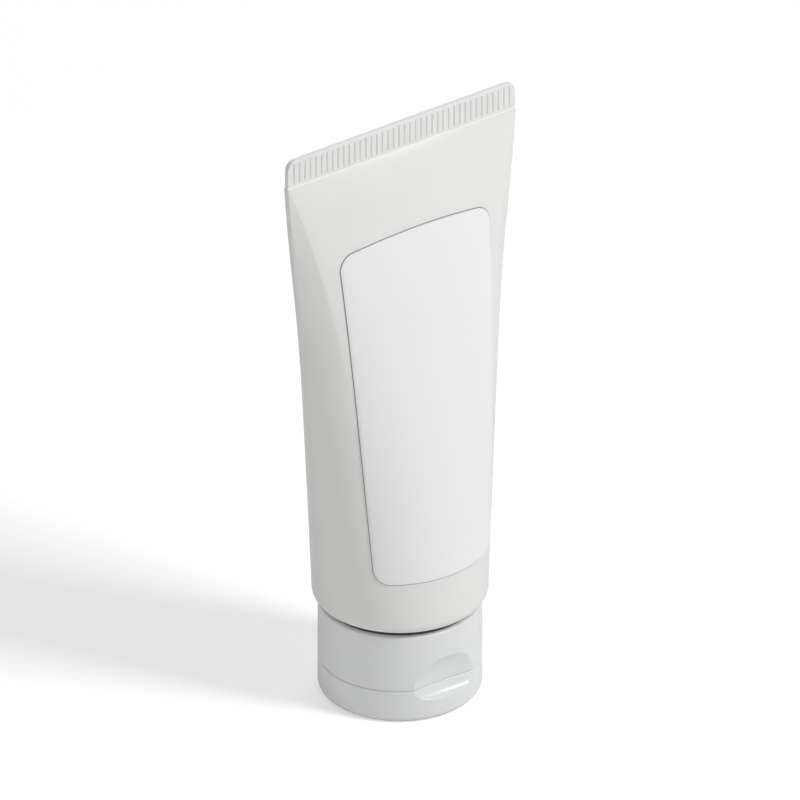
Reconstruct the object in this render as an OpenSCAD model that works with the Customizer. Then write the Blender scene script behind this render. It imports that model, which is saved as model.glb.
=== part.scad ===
// Cosmetic squeeze tube that stands on its flip-top cap.
// Millimetres, +Z up. The origin is the centre of the lid's flat face, on which the tube stands.
// The label and the thumb scoop face -Y, the crimp runs along X, and the lid's hinge is at +Y.

/* [Tube] */
// Overall height, from the standing face to the top of the crimp
total_h = 146.1; // [110:0.1:190]
// Outer diameter of the round end of the sleeve
sleeve_d = 40; // [30:1:50]
// Wall of the sleeve
sleeve_wall = 0.8; // [0.5:0.05:1]
// Radius of the sleeve's rounded lower rim
rim_r = 2.5; // [1.5:0.1:2.8]
// How far the two soft creases stand in from the sleeve's edges where the sleeve is round
crease_in = 7; // [4:0.1:8]
// How flat the sleeve's sides become between crease and edge, near the crimp
crease_flat = 1; // [0.3:0.05:1]
// How much fuller the sleeve stands where its creases cut its corners, as a share of its width
crease_full = 0.03; // [0:0.005:0.05]
// How softly the sides fold over at the sleeve's edges, far below the crimp
fold_soft = 0.4; // [0.2:0.1:2]
// Height of the plain round sleeve below the first sign of a crease
crease_start = 48; // [40:1:70]

/* [Crimp] */
// Height of the pressed band
crimp_h = 7; // [5:0.5:10]
// How much the pressed band spreads beyond half the sleeve's girth
crimp_spread = 0.6; // [0:0.1:1.5]
// How much deeper each jaw presses the band than the two walls' own thickness
crimp_press = 0.18; // [0:0.02:0.25]
// Height of the small slope between the sleeve and the pressed band
crimp_ledge = 0.2; // [0.1:0.05:0.5]
// Corner radius at the top of the band
crimp_corner = 2.5; // [0.5:0.1:4]
// Number of pressed grooves on each face
groove_count = 40; // [24:1:44]
// Distance between two grooves
groove_pitch = 1.54; // [0.9:0.01:1.6]
// Width of a groove
groove_w = 0.5; // [0.2:0.05:0.7]
// Depth of a groove
groove_deep = 0.3; // [0.1:0.05:0.35]
// Plain strip left above and below the grooves
groove_margin = 0.7; // [0.5:0.1:1.5]

/* [Label] */
// Width of the label's top, measured round the sleeve
label_top_w = 42.4; // [24:0.1:46]
// Width of the label's foot, measured round the sleeve
label_foot_w = 35.9; // [24:0.1:42]
// Height of the label
label_h = 83.3; // [40:0.1:84.5]
// Distance from the sleeve's lower rim up to the label
label_lift = 13.2; // [8:0.1:20]
// Corner radius of the label
label_corner = 3.8; // [1:0.1:8]
// How much higher the label's top edge stands at its middle than at its corners
label_arch = 2.2; // [0:0.1:3]
// Thickness of the label film
label_t = 0.15; // [0.1:0.01:0.3]

/* [Cap] */
// Outer diameter of the cap
cap_d = 37.2; // [28:0.1:40]
// Height of the lid, up to the parting line
lid_h = 8; // [7.5:0.1:12]
// Height of the whole closed cap
cap_h = 22.2; // [20:0.1:26]
// Wall of the cap's skirt and lid
cap_wall = 1.5; // [1:0.1:2]
// Thickness of the lid's floor
lid_floor = 1.4; // [1:0.1:2]
// Thickness of the deck that closes the base
deck_t = 1.4; // [1:0.1:2]
// Radius of the lid's lower edge
lid_edge_r = 1.75; // [0.8:0.05:2]
// Bevel of the edges along the parting line
parting_bevel = 0.2; // [0.1:0.05:0.4]
// Height of the narrow gap that shows along the parting line
parting_gap = 0.3; // [0.15:0.05:0.5]
// Depth of that gap
parting_deep = 0.3; // [0.2:0.05:0.6]
// Gap between the tube's rim and the cap
cap_gap = 1.1; // [0.5:0.1:2]

/* [Spout] */
// Diameter of the orifice
orifice_d = 4; // [2:0.1:5]
// Outer diameter of the spout's tip
spout_d = 7.4; // [7:0.1:9]
// How far the spout stands out of the deck
spout_h = 4; // [3.5:0.1:4.5]
// How far the lid's pin reaches into the orifice
pin_reach = 2.2; // [1:0.1:3]
// Clearance between pin and orifice, and between ring and spout, each side
seal_fit = 0.05; // [0.03:0.01:0.1]
// Wall of the lid's sealing ring
seal_ring_wall = 0.8; // [0.6:0.1:1.2]
// Bevel on the ends of the spout and the pin
tip_bevel = 0.25; // [0.1:0.05:0.4]

/* [Thumb scoop] */
// Depth of the scoop at the parting line
scoop_deep = 2.34; // [1.5:0.01:3]
// Height of the scoop above the parting line
scoop_up = 7.7; // [5:0.1:10]
// Height of the scoop below the parting line
scoop_down = 3; // [2:0.1:4]
// Half-width of the scoop at the parting line
scoop_half_w = 8.15; // [6:0.05:10]
// How much deeper the scoop is at its middle than a straight cut
scoop_dish = 0.44; // [0.2:0.01:0.8]

/* [Neck] */
// Outer diameter of the neck
neck_d = 16; // [12:0.1:18]
// Bore of the neck
neck_bore = 13; // [9:0.1:14]
// How far the shoulder slopes from rim to neck
shoulder_drop = 3; // [1.5:0.1:4]
// Thickness of the shoulder
shoulder_t = 1.2; // [0.8:0.1:1.6]
// Height of the snap bead on the neck
bead_out = 0.4; // [0.2:0.05:0.6]
// Height of the snap bead above the neck's end
bead_up = 3.2; // [2.5:0.1:4]
// Clearance between neck and socket, each side
neck_fit = 0.08; // [0.05:0.01:0.1]
// Wall of the socket that grips the neck
socket_wall = 1.5; // [1.2:0.1:2]

/* [Hinge] */
// How far the hinge's line lies inside the cap's round outline
hinge_in = 1.1; // [0.9:0.1:1.5]
// Distance from the hinge's line to the two flats behind it
hinge_gap = 0.5; // [0.4:0.05:0.7]
// Length of the film
film_w = 11; // [6:0.5:12]
// Thickness of the film
film_t = 0.35; // [0.25:0.05:0.5]

/* [Contents] */
// Height of the cream above the sleeve's lower rim
cream_h = 99; // [60:1:105]
// Clearance between the cream and the walls around it
cream_fit = 0.06; // [0.05:0.01:0.2]

/* [Hidden] */

// the sleeve
sleeve_r = sleeve_d / 2;
rim_z = cap_h + cap_gap;
round_z = rim_z + rim_r;
crimp_z = total_h - crimp_h;
crimp_half_t = sleeve_wall - crimp_press;
crimp_half_w = PI * sleeve_r / 2 + crimp_spread / 2;
// girth of an ellipse is nearly that of a power mean of its half-axes with this power
girth_power = ln(2) / ln(PI / 2);
crimp_girth_r = pow((pow(crimp_half_w, girth_power) + pow(sleeve_wall, girth_power)) / 2, 1 / girth_power);

// share of the climb from rim to crimp where the folded edge begins to thicken
edge_from = 0.6;
// how late and how softly the crease runs out to the crimp's corner
crease_turn = 4.5;
crease_ease = 0.9;
// rings stand closer together towards the crimp, where the form bends most
ring_crowding = 1.25;
// below these, an angle counts as none and a length as zero
least_angle = 0.5;
least_l = 0.01;

// points on a quarter of one ring: from edge to crease, and from crease to the front
side_n = 5;
front_n = 11;
rim_steps = 5;
body_steps = 24;
cavity_steps = 14;
corner_steps = 6;
lip_r = sleeve_r - rim_r;
// solid part below the crimp, where the two walls already touch
cavity_end = 1.6;
// half-width of a groove's floor
groove_tip = 0.04;

// the label
label_z = rim_z + label_lift;
label_float = 0.04;
label_cols = 20;
label_corner_rows = 5;
label_body_rows = 14;
arc_steps = 30;
// the label keeps at least this angle from the sleeve's edge
label_end_a = 15;

// the cap
cap_r = cap_d / 2;
cap_in_r = cap_r - cap_wall;
deck_z = lid_h + deck_t;
spout_z = lid_h - spout_h;
socket_in_r = neck_d / 2 + neck_fit;
socket_out_r = socket_in_r + socket_wall;
socket_clear = 0.8;
collar_h = 1.2;
collar_w = 1;
collar_gap = 0.15;
collar_front = scoop_half_w + 1.5;
hinge_y = cap_r - hinge_in;
flat_y = hinge_y - hinge_gap;
pad_w = film_w + 2;
cut = 1;
// how far the scoop's barrels reach past its ends
barrel_over = 2.5;
skirt_fn = 128;
bore_fn = 96;
small_fn = 64;

// the shoulder and neck
shoulder_fit = 0.03;
shoulder_r = lip_r * cos(180 / (4 * (side_n + front_n))) - shoulder_fit;
neck_r = neck_d / 2;
shoulder_low_z = rim_z - shoulder_drop;
shoulder_slope = atan(shoulder_drop / (shoulder_r - neck_r));
shoulder_rise = shoulder_t / cos(shoulder_slope);
// where the slope's inner face meets the bore
neck_top_z = shoulder_low_z + shoulder_rise - (neck_r - neck_bore / 2) * tan(shoulder_slope);

// the cream starts its climb up the sleeve's wall this far above the shoulder's slope
cream_rise = 1;
cream_steps = 12;

function smooth(a, b, v) = let (u = max(0, min(1, (v - a) / (b - a)))) u * u * (3 - 2 * u);

// half-width, girth radius and half-depth of the sleeve at a height, before and with its creases
function up(z) = max(0, (z - round_z) / (crimp_z - round_z));
function even_w(z) = sleeve_r + (crimp_half_w - sleeve_r) * up(z);
function girth_r(z) = sleeve_r + (crimp_girth_r - sleeve_r) * up(z);
function even_d(z) = z >= crimp_z ? sleeve_wall
    : pow(2 * pow(girth_r(z), girth_power) - pow(even_w(z), girth_power), 1 / girth_power);
// the creases begin low on the sleeve and run out to the crimp's corners
function crease_rise(z) = smooth(crease_start, crimp_z - crimp_h, z);
function crease_share(z) = pow(max(0, 1 - pow(up(z), crease_turn)), crease_ease);
function fullness(z) = 1 + crease_full * crease_rise(z) * crease_share(z);
function half_w(z) = even_w(z) * fullness(z);
function half_d(z) = even_d(z) * fullness(z);
function crease_a(z) = acos(min(1, 1 - crease_in * crease_share(z) / half_w(z)));
function crease_k(z) = crease_flat * crease_rise(z);
// the folded edge grows to both walls' thickness towards the crimp
function edge_t(z) = sleeve_wall * smooth(edge_from, 1, up(z));

// a straight rise from 0 to 1 whose foot is bent over in a soft fold
function fold(s, soft) = (sqrt(s * s + soft * soft) - soft) / (sqrt(1 + soft * soft) - soft);

// a quarter of a ring with half-axes a and b, edge thickness h, crease angle c, flatness k and fold f
function side_pt(a, b, h, c, k, f, j) =
    let (v = j / side_n,
         yc = h + (b - h) * sin(c),
         y = yc * (c < least_angle ? v : sin(v * c) / sin(c)),
         q = (b - h) < least_l ? 0 : max(0, y - h) / (b - h),
         xe = a * sqrt(max(0, 1 - q * q)),
         xc = a * cos(c),
         xl = (yc - h) < least_l ? a : a - (a - xc) * fold(max(0, y - h) / (yc - h), f))
    [(1 - k) * xe + k * xl, y];
function front_pt(a, b, h, t) = [a * cos(t), h + (b - h) * sin(t)];
function quarter(a, b, h, c, k, f) = concat(
    [for (j = [0:side_n]) side_pt(a, b, h, c, k, f, j)],
    [for (j = [1:front_n]) front_pt(a, b, h, c + (90 - c) * j / front_n)]);
function ring(a, b, h, c, k, f, z) =
    let (q = quarter(a, b, h, c, k, f), n = len(q) - 1)
    concat([for (i = [0:n - 1]) [q[i][0], q[i][1], z]],
           [for (i = [n:-1:1]) [-q[i][0], q[i][1], z]],
           [for (i = [0:n - 1]) [-q[i][0], -q[i][1], z]],
           [for (i = [n:-1:1]) [q[i][0], -q[i][1], z]]);

function body_ring(z, inset) =
    ring(half_w(z) - inset, half_d(z) - inset, inset > 0 ? 0 : edge_t(z), crease_a(z), crease_k(z),
         fold_soft * (1 - up(z)), z);
function round_ring(r, z) = ring(r, r, 0, crease_a(round_z), 0, 0, z);
function body_z(last, i, steps) = round_z + (last - round_z) * (1 - pow(1 - i / steps, ring_crowding));

// a closed skin over a list of rings that all have the same number of points; the end of a thin sheet's
// skin is closed by one row of faces, since it needn't be flat
module skin(rings, sheet = false) {
    n = len(rings[0]);
    m = len(rings);
    points = [for (r = rings) for (p = r) p];
    sides = [for (i = [0:m - 2]) for (j = [0:n - 1])
        let (a = i * n + j, b = i * n + (j + 1) % n)
        each [[a, a + n, b], [b, a + n, b + n]]];
    caps = sheet
        ? [for (j = [0:n / 2 - 2]) let (e = (m - 1) * n)
            each [[j, j + 1, n - 1 - j], [j + 1, n - 2 - j, n - 1 - j],
                  [e + j + 1, e + j, e + n - 1 - j], [e + n - 2 - j, e + j + 1, e + n - 1 - j]]]
        : [[for (j = [0:n - 1]) j], [for (j = [n - 1:-1:0]) (m - 1) * n + j]];
    polyhedron(points, concat(sides, caps), convexity = 6);
}

// the outer skin runs over the rim, the body and the band, and the cavity comes back down to the rim's lip
module sleeve_body() {
    n = 4 * (side_n + front_n);
    function rim_ring(r, i) =
        let (t = 90 * i / rim_steps) round_ring(lip_r + r * sin(t), round_z - r * cos(t));
    function band_ring(w, z) = ring(w, crimp_half_t, crimp_half_t, 0, 0, 0, z);
    outer = concat(
        [for (i = [0:rim_steps - 1]) rim_ring(rim_r, i)],
        [for (i = [0:body_steps]) body_ring(body_z(crimp_z, i, body_steps), 0)],
        [band_ring(crimp_half_w, crimp_z + crimp_ledge)],
        [for (i = [0:corner_steps]) let (t = 90 * i / corner_steps)
            band_ring(crimp_half_w - crimp_corner * (1 - cos(t)), total_h - crimp_corner * (1 - sin(t)))]);
    inner = concat(
        [for (i = [cavity_steps:-1:0])
            body_ring(body_z(crimp_z - cavity_end, i, cavity_steps), sleeve_wall)],
        [for (i = [rim_steps - 1:-1:0]) rim_ring(rim_r - sleeve_wall, i)]);
    rings = concat(outer, inner);
    m = len(rings);
    top = len(outer) - 1;
    points = [for (r = rings) for (p = r) p];
    sides = [for (i = [0:m - 1]) if (i != top) for (j = [0:n - 1])
        let (a = i * n + j, b = i * n + (j + 1) % n,
             c = ((i + 1) % m) * n + j, d = ((i + 1) % m) * n + (j + 1) % n)
        each [[a, c, b], [b, c, d]]];
    // the band's top edge, and the narrow slit where the cavity ends
    ends = [[for (j = [n - 1:-1:0]) top * n + j], [for (j = [0:n - 1]) (top + 1) * n + j]];
    polyhedron(points, concat(sides, ends), convexity = 8);
}

// one pressed groove, lying in the face y = 0, with its ends sloping out
module groove() {
    groove_l = crimp_h - 2 * groove_margin;
    hull() {
        translate([-groove_w / 2, -groove_tip, 0])
            cube([groove_w, 2 * groove_tip, groove_l]);
        translate([-groove_tip, -groove_deep, groove_deep])
            cube([2 * groove_tip, 2 * groove_deep, groove_l - 2 * groove_deep]);
    }
}

module tube_sleeve() {
    color([0.96, 0.96, 0.96])
        difference() {
            sleeve_body();
            for (i = [0:groove_count - 1], y = [-crimp_half_t, crimp_half_t])
                translate([(i - (groove_count - 1) / 2) * groove_pitch, y, crimp_z + groove_margin])
                    groove();
        }
}

// the moulded head: a sloping disc inside the sleeve's lip, and the neck with its snap bead
module tube_shoulder() {
    color([0.93, 0.93, 0.93])
        rotate_extrude($fn = bore_fn)
            polygon([
                [neck_bore / 2, deck_z],
                [neck_r, deck_z],
                [neck_r, deck_z + bead_up - bead_out],
                [neck_r + bead_out, deck_z + bead_up],
                [neck_r, deck_z + bead_up + bead_out],
                [neck_r, shoulder_low_z],
                [shoulder_r, rim_z],
                [shoulder_r, rim_z + shoulder_rise],
                [neck_bore / 2, neck_top_z]]);
}

// where the label's film lies: s is the way round from the middle of the front
function arc_table(z) =
    let (a = half_w(z), b = half_d(z), h = edge_t(z),
         t = [for (i = [0:arc_steps]) 90 - (90 - label_end_a) * i / arc_steps],
         p = [for (u = t) front_pt(a, b, h, u)],
         s = [for (i = 0, l = 0; i <= arc_steps;
                   l = l + (i < arc_steps ? norm(p[i + 1] - p[i]) : 0), i = i + 1) l])
    [for (i = [0:arc_steps]) [s[i], t[i]]];
function label_pt(table, s, z, off) =
    let (a = half_w(z), b = half_d(z), h = edge_t(z),
         t = lookup(abs(s), table),
         p = front_pt(a, b, h, t),
         g = [(b - h) * cos(t), a * sin(t)],
         u = g / norm(g))
    [(s < 0 ? -1 : 1) * (p[0] + off * u[0]), -(p[1] + off * u[1]), z];
// half-width of the label at a height: its straight sides, and the same with its corners rounded
function label_side(v) = (label_foot_w + (label_top_w - label_foot_w) * v / label_h) / 2;
function label_half(v) =
    let (into = max(0, label_corner - min(v, label_h - v)))
    label_side(v) - label_corner + sqrt(max(0, pow(label_corner, 2) - pow(into, 2)));
label_rows = concat(
    [for (i = [0:label_corner_rows - 1]) label_corner * (1 - cos(90 * i / label_corner_rows))],
    [for (i = [0:label_body_rows]) label_corner + (label_h - 2 * label_corner) * i / label_body_rows],
    [for (i = [label_corner_rows - 1:-1:0])
        label_h - label_corner * (1 - cos(90 * i / label_corner_rows))]);

module label() {
    color([0.99, 0.99, 0.99])
        skin([for (v = label_rows)
            let (z = label_z + v, w = label_half(v), table = arc_table(z),
                 arch = label_arch * pow(v / label_h, 2),
                 ways = [for (j = [0:label_cols]) w * (2 * j / label_cols - 1)],
                 lifts = [for (s = ways) z + arch * (1 - pow(s / label_side(v), 2))])
            concat([for (j = [0:label_cols]) label_pt(table, ways[j], lifts[j], label_float + label_t)],
                   [for (j = [label_cols:-1:0]) label_pt(table, ways[j], lifts[j], label_float)])],
            sheet = true);
}

// the cream fills the neck, the slope over the shoulder and the sleeve, and leaves a space on top
module cream_fill() {
    neck_in = neck_bore / 2 - cream_fit;
    wall = sleeve_wall + cream_fit;
    foot_z = neck_top_z + 2 * cream_fit;
    foot_r = lip_r - cream_fit;
    over_z = foot_z + (foot_r - neck_in) * tan(shoulder_slope);
    wall_z = max(round_z, over_z + cream_rise);
    top_z = min(rim_z + cream_h, crimp_z - 2 * crimp_h);
    color([0.98, 0.96, 0.9])
        skin(concat(
            [round_ring(neck_in, deck_z + cream_fit), round_ring(neck_in, foot_z),
             round_ring(foot_r, over_z)],
            [for (i = [0:cream_steps]) body_ring(wall_z + (top_z - wall_z) * i / cream_steps, wall)]));
}

// a barrel lying along X, whose side passes through the scoop's deepest point
module scoop_barrel(r, y, grow) {
    arc_r = (pow(scoop_half_w, 2) + pow(scoop_dish, 2)) / (2 * scoop_dish);
    half = scoop_half_w + barrel_over + grow;
    translate([0, y, lid_h])
        rotate([0, 90, 0])
            rotate_extrude($fn = bore_fn)
                intersection() {
                    translate([r + grow - arc_r, 0])
                        circle(arc_r, $fn = bore_fn);
                    translate([0, -half])
                        square([r + grow + cut, 2 * half]);
                }
}

// radius of a round cut that is scoop_deep deep at the parting line and ends at a given height
scoop_wall_y = -(cap_r - scoop_deep);
up_r = (pow(scoop_up, 2) + pow(scoop_deep, 2)) / (2 * scoop_deep);
down_r = (pow(scoop_down, 2) + pow(scoop_deep, 2)) / (2 * scoop_deep);

module scoop_up_cut(grow) { scoop_barrel(up_r, scoop_wall_y - up_r, grow); }
module scoop_down_cut(grow) { scoop_barrel(down_r, scoop_wall_y - down_r, grow); }

// the flat behind the hinge, so that lid and base clear each other when the lid lies open
module hinge_flat(z0, z1) {
    translate([-pad_w / 2, flat_y, z0])
        cube([pad_w, 2 * hinge_in + cut, z1 - z0]);
}

module cap_base() {
    color([0.95, 0.95, 0.95])
        difference() {
            union() {
                // skirt and deck
                rotate_extrude($fn = skirt_fn)
                    difference() {
                        polygon([[0, lid_h], [cap_r - parting_deep, lid_h],
                                 [cap_r - parting_deep, lid_h + parting_gap],
                                 [cap_r - parting_bevel, lid_h + parting_gap],
                                 [cap_r, lid_h + parting_gap + parting_bevel],
                                 [cap_r, cap_h], [cap_in_r, cap_h], [cap_in_r, deck_z], [0, deck_z]]);
                        square([orifice_d / 2, cap_h]);
                    }
                // the wall behind the thumb scoop
                intersection() {
                    scoop_up_cut(cap_wall);
                    translate([0, 0, lid_h])
                        cylinder(r = cap_r - cap_wall / 2, h = scoop_up + 2 * cap_wall, $fn = skirt_fn);
                }
                // the boss behind the hinge's flat
                intersection() {
                    translate([-pad_w / 2 - cap_wall, flat_y - cap_wall, lid_h])
                        cube([pad_w + 2 * cap_wall, cap_wall + hinge_in, cap_h - lid_h]);
                    translate([0, 0, lid_h])
                        cylinder(r = cap_r - cap_wall / 2, h = cap_h - lid_h, $fn = skirt_fn);
                }
                // socket that grips the neck, with a groove for its bead
                rotate_extrude($fn = bore_fn)
                    polygon([
                        [socket_in_r, deck_z - deck_t / 2],
                        [socket_out_r, deck_z - deck_t / 2],
                        [socket_out_r, shoulder_low_z - socket_clear],
                        [socket_in_r + socket_wall / 2, shoulder_low_z - socket_clear],
                        [socket_in_r, shoulder_low_z - socket_clear - socket_wall / 2],
                        [socket_in_r, deck_z + bead_up + bead_out],
                        [socket_in_r + bead_out, deck_z + bead_up],
                        [socket_in_r, deck_z + bead_up - bead_out]]);
                // spout
                rotate_extrude($fn = bore_fn)
                    polygon([
                        [orifice_d / 2, spout_z],
                        [spout_d / 2 - tip_bevel, spout_z],
                        [spout_d / 2, spout_z + tip_bevel],
                        [spout_d / 2, lid_h - cap_wall / 2],
                        [spout_d / 2 + cap_wall / 2, lid_h + deck_t / 2],
                        [orifice_d / 2, lid_h + deck_t / 2]]);
                // low collar that centres the lid, open in front of the scoop
                difference() {
                    rotate_extrude($fn = skirt_fn)
                        translate([cap_in_r - collar_gap - collar_w, lid_h - collar_h])
                            square([collar_w, collar_h + deck_t / 2]);
                    translate([-collar_front, -cap_r, lid_h - collar_h - cut])
                        cube([2 * collar_front, cap_r, collar_h + cut]);
                    translate([-pad_w / 2 - cap_wall, 0, lid_h - collar_h - cut])
                        cube([pad_w + 2 * cap_wall, cap_r, collar_h + cut]);
                }
            }
            scoop_up_cut(0);
            hinge_flat(lid_h - cut, cap_h + cut);
        }
}

module cap_lid() {
    ring_in_r = spout_d / 2 + seal_fit;
    color([0.95, 0.95, 0.95])
        difference() {
            union() {
                difference() {
                    // outer form, with the rounded edge that it stands within
                    rotate_extrude($fn = skirt_fn)
                        union() {
                            square([cap_r - lid_edge_r, lid_h]);
                            translate([0, lid_edge_r])
                                square([cap_r, lid_h - lid_edge_r - parting_bevel]);
                            translate([cap_r - lid_edge_r, lid_edge_r])
                                circle(lid_edge_r, $fn = small_fn);
                            polygon([[0, lid_h - 2 * parting_bevel], [cap_r, lid_h - 2 * parting_bevel],
                                     [cap_r, lid_h - parting_bevel],
                                     [cap_r - parting_bevel, lid_h], [0, lid_h]]);
                        }
                    difference() {
                        translate([0, 0, lid_floor])
                            cylinder(r = cap_in_r, h = lid_h, $fn = skirt_fn);
                        // the walls behind the thumb scoop and the hinge's flat stay
                        scoop_down_cut(cap_wall);
                        translate([-pad_w / 2 - cap_wall, flat_y - cap_wall, 0])
                            cube([pad_w + 2 * cap_wall, cap_r, lid_h + cut]);
                    }
                }
                // pin that closes the orifice
                rotate_extrude($fn = small_fn)
                    polygon([[0, lid_floor / 2], [orifice_d / 2, lid_floor / 2],
                             [orifice_d / 2 - seal_fit, lid_floor + seal_fit],
                             [orifice_d / 2 - seal_fit, spout_z + pin_reach - 2 * tip_bevel],
                             [orifice_d / 2 - seal_fit - 2 * tip_bevel, spout_z + pin_reach],
                             [0, spout_z + pin_reach]]);
                // ring that grips the spout from outside
                rotate_extrude($fn = bore_fn)
                    translate([ring_in_r, lid_floor / 2])
                        square([seal_ring_wall, spout_z + spout_h / 2 - lid_floor / 2]);
            }
            scoop_down_cut(0);
            hinge_flat(-cut, lid_h + cut);
        }
}

// the film bows out behind the two flats while the lid is shut
module hinge_film() {
    color([0.95, 0.95, 0.95])
        translate([film_w / 2, flat_y, lid_h])
            rotate([0, -90, 0])
                linear_extrude(film_w)
                    intersection() {
                        difference() {
                            circle(hinge_gap + film_t / 2, $fn = small_fn);
                            circle(hinge_gap - film_t / 2, $fn = small_fn);
                        }
                        translate([-cap_r, 0])
                            square([2 * cap_r, cap_r]);
                    }
}

tube_sleeve();
tube_shoulder();
label();
cream_fill();
cap_base();
cap_lid();
hinge_film();
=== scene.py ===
import math
import bmesh
import bpy
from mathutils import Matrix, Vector


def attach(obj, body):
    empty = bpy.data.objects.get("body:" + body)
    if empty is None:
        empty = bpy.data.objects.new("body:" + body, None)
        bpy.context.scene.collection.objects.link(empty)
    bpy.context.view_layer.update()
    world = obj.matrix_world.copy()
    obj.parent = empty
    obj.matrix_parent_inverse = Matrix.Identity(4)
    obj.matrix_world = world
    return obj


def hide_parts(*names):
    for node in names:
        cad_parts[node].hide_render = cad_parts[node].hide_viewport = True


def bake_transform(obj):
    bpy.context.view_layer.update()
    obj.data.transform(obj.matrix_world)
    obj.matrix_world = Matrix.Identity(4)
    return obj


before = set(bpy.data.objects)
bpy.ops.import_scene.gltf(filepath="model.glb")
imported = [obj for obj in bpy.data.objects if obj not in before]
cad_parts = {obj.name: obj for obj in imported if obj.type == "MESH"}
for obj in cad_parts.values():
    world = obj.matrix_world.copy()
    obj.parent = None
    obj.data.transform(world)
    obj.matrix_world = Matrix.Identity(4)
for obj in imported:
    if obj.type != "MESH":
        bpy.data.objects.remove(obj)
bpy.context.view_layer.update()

mm = 0.001

# the tube's sizes, as in the part's source
tube = {
    "radius": 20 * mm,
    "rimRadius": 2.5 * mm,
    "rimZ": 23.3 * mm,
    "totalHeight": 146.1 * mm,
    "crimpHeight": 7 * mm,
    "wall": 0.8 * mm,
    "crimpSpread": 0.6 * mm,
    "creaseIn": 7.0 * mm,
    "creaseFlat": 1.0,
    "creaseFull": 0.03,
    "foldSoft": 0.4,
    "creaseStart": 48 * mm,
    "girthPower": math.log(2) / math.log(math.pi / 2),
}
tube["roundZ"] = tube["rimZ"] + tube["rimRadius"]
tube["crimpZ"] = tube["totalHeight"] - tube["crimpHeight"]
tube["crimpHalfWide"] = math.pi * tube["radius"] / 2 + tube["crimpSpread"] / 2
tube["crimpGirth"] = (
    (tube["crimpHalfWide"] ** tube["girthPower"] + tube["wall"] ** tube["girthPower"]) / 2
) ** (1 / tube["girthPower"])


def hexColor(code):
    # sRGB hex to the linear values that shaders take
    parts = [int(code[i:i + 2], 16) / 255 for i in (1, 3, 5)]
    return tuple(p / 12.92 if p <= 0.04045 else ((p + 0.055) / 1.055) ** 2.4 for p in parts) + (1.0,)


def addNode(tree, kind, settings=None, inputs=None):
    # settings: a dict, or an operation's name alone; inputs: a list in socket order or a dict by name
    node = tree.nodes.new(kind)
    if isinstance(settings, str):
        settings = {"operation": settings}
    for key, value in (settings or {}).items():
        setattr(node, key, value)
    pairs = inputs.items() if isinstance(inputs, dict) else enumerate(inputs or [])
    for key, source in pairs:
        if isinstance(source, bpy.types.Node):
            # a node stands for its first output
            source = source.outputs[0]
        if isinstance(source, bpy.types.NodeSocket):
            tree.links.new(source, node.inputs[key])
        elif source is not None:
            node.inputs[key].default_value = source
    return node


def clearedTree(owner):
    owner.use_nodes = True
    owner.node_tree.nodes.clear()
    return owner.node_tree


def newFormTree(name, values, shapesMesh=False):
    # a Geometry Nodes tree with a named input for each value, and for a mesh where it shapes one
    tree = bpy.data.node_groups.new(name, "GeometryNodeTree")
    if shapesMesh:
        tree.interface.new_socket("Geometry", in_out="INPUT", socket_type="NodeSocketGeometry")
    for label, value in values.items():
        kind = {float: "NodeSocketFloat", int: "NodeSocketInt"}.get(type(value), "NodeSocketMaterial")
        tree.interface.new_socket(label, in_out="INPUT", socket_type=kind)
    tree.interface.new_socket("Geometry", in_out="OUTPUT", socket_type="NodeSocketGeometry")
    return tree, addNode(tree, "NodeGroupInput").outputs


def endFormTree(tree, given, geometry, point, mergeWithin=None):
    # every point goes to its place, points within mergeWithin become one, and the piece gets its material
    placed = addNode(tree, "GeometryNodeSetPosition", {}, {"Geometry": geometry, "Position": point})
    if mergeWithin:
        placed = addNode(tree, "GeometryNodeMergeByDistance", {}, {
            "Geometry": placed, "Distance": mergeWithin})
    whole = addNode(tree, "GeometryNodeRealizeInstances", {}, [placed])
    dressed = addNode(tree, "GeometryNodeSetMaterial", {}, {
        "Geometry": whole, "Material": given["Material"]})
    addNode(tree, "NodeGroupOutput", {}, [dressed])


def thirdSide(tree, longest, side):
    # the remaining side of a right triangle, or 0 where there is none
    mathKind = "ShaderNodeMath"
    longestSquare = addNode(tree, mathKind, "MULTIPLY", [longest, longest])
    sideSquare = addNode(tree, mathKind, "MULTIPLY", [side, side])
    restSquare = addNode(tree, mathKind, "SUBTRACT", [longestSquare, sideSquare])
    restSafe = addNode(tree, mathKind, "MAXIMUM", [restSquare, 0.0])
    return addNode(tree, mathKind, "SQRT", [restSafe])


def placeObject(name, data):
    placed = bpy.data.objects.new(name, data)
    bpy.context.scene.collection.objects.link(placed)
    return placed


def growPiece(name, tree, values, mesh=None):
    # runs a tree once and keeps its result as a plain mesh
    holder = placeObject(name + "Holder", mesh or bpy.data.meshes.new(name + "Holder"))
    modifier = holder.modifiers.new("form", "NODES")
    modifier.node_group = tree
    for item in tree.interface.items_tree:
        if item.in_out == "INPUT" and item.name in values:
            modifier[item.identifier] = values[item.name]
    depsgraph = bpy.context.evaluated_depsgraph_get()
    mesh = bpy.data.meshes.new_from_object(holder.evaluated_get(depsgraph))
    holder.modifiers.remove(modifier)
    bpy.data.objects.remove(holder)
    mesh.name = name
    return placeObject(name, mesh)


def newPiece(name, vertices, faces, materials):
    mesh = bpy.data.meshes.new(name)
    mesh.from_pydata([tuple(v) for v in vertices], [], faces)
    for material in materials:
        mesh.materials.append(material)
    return placeObject(name, mesh)


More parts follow.
